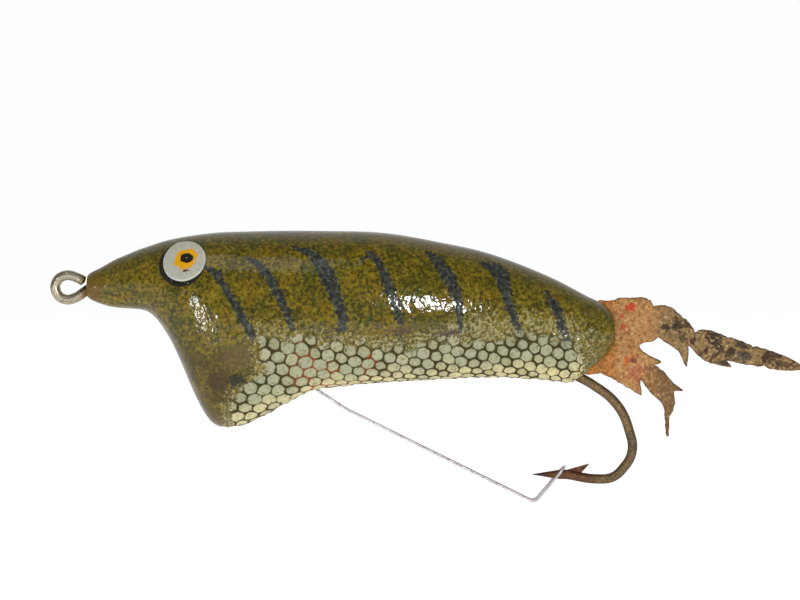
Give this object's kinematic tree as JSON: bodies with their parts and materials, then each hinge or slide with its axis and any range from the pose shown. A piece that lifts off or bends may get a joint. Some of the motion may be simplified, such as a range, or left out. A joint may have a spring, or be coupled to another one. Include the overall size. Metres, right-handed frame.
{
  "type": "fishing lure",
  "caption": "Carved fish-shaped lure with a deep chin, scaly skin cover, fixed single hook, sprung wire weed guard and cut leather tail.",
  "frame": {"origin": "centre of the line-tie ring at the nose", "axes": "+X from the nose to the tail, +Z towards the back (dorsal side), +Y across the body, along the line-tie ring's axis"},
  "size_m": [0.1799, 0.0258, 0.065],
  "materials": {
    "carved_wood": "raw, sealed at the slot",
    "painted_skin": "painted and lacquered, worn",
    "nickel_wire": "worn nickel plate",
    "bronzed_hook": "bronzed and rusted",
    "steel_brad": "plain",
    "spring_wire": "bright",
    "eye_enamel": "gloss enamel, chipped",
    "rawhide": "dry, stained"
  },
  "bodies": {
    "lure": {"body_core": "carved_wood", "belly_filler": "carved_wood", "skin_cover": "painted_skin", "line_tie": "nickel_wire", "hook": "bronzed_hook", "hook_pin": "steel_brad", "guard_pin": "steel_brad", "eye_tack_near": "eye_enamel", "eye_tack_far": "eye_enamel", "tail_root": "rawhide"},
    "guard": {"weed_guard": "spring_wire"},
    "fan": {"tail_fan": "rawhide"},
    "claw": {"upper_claw": "rawhide"},
    "tip": {"claw_tip": "rawhide"},
    "low_claw": {"lower_claw": "rawhide"}
  },
  "joints": [
    {"name": "guard_swing", "type": "hinge", "parent": "lure", "child": "guard", "pos_m": [0.0585, 0, -0.0224], "axis": [0, -1, 0], "range_deg": [0, 14], "stiffness_Nm_per_rad": 0.03, "springref_deg": -5.73},
    {"name": "tail_flex", "type": "hinge", "parent": "lure", "child": "fan", "pos_m": [0.1326, 0, -0.0127], "axis": [0, 0, 1], "range_deg": [-20, 20], "stiffness_Nm_per_rad": 0.01},
    {"name": "claw_flex", "type": "hinge", "parent": "fan", "child": "claw", "pos_m": [0.1418, 0, -0.00815], "axis": [0, 0, 1], "range_deg": [-25, 25], "stiffness_Nm_per_rad": 0.005},
    {"name": "tip_flex", "type": "hinge", "parent": "claw", "child": "tip", "pos_m": [0.14985, 0, -0.0124], "axis": [0.4244, 0, 0.9055], "range_deg": [-30, 30], "stiffness_Nm_per_rad": 0.003},
    {"name": "low_claw_flex", "type": "hinge", "parent": "fan", "child": "low_claw", "pos_m": [0.1391, 0, -0.0203], "axis": [0.7071, 0, 0.7071], "range_deg": [-25, 25], "stiffness_Nm_per_rad": 0.003}
  ]
}
